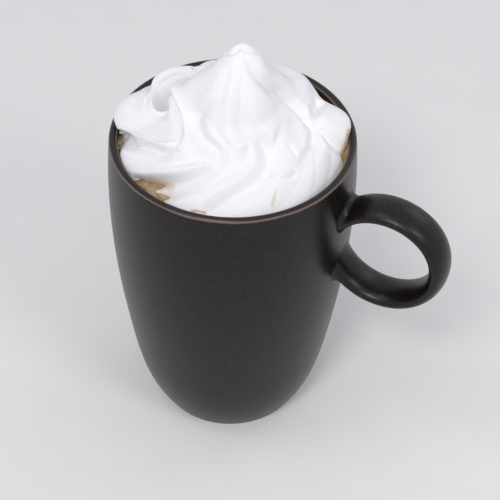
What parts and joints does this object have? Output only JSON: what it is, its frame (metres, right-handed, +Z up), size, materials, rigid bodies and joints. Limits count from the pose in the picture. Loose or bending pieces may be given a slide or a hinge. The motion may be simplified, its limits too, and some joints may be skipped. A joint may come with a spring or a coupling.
{
  "type": "coffee with whipped cream in a mug",
  "caption": "Tall dark stoneware mug with a round ring handle, full of coffee topped with a piped swirl of whipped cream that rises to a peak.",
  "frame": {"origin": "centre of the mug's flat base, on the mug's axis", "axes": "+Z up along the mug's axis, +X towards the handle, +Y to the handle's left"},
  "size_m": [0.1175, 0.0816, 0.15],
  "materials": {
    "stoneware": "satin matt glaze",
    "coffee": "liquid with a thin crema",
    "cream": "soft whipped cream"
  },
  "bodies": {
    "root": {"mug": "stoneware", "coffee": "coffee", "cream": "cream"}
  },
  "joints": []
}
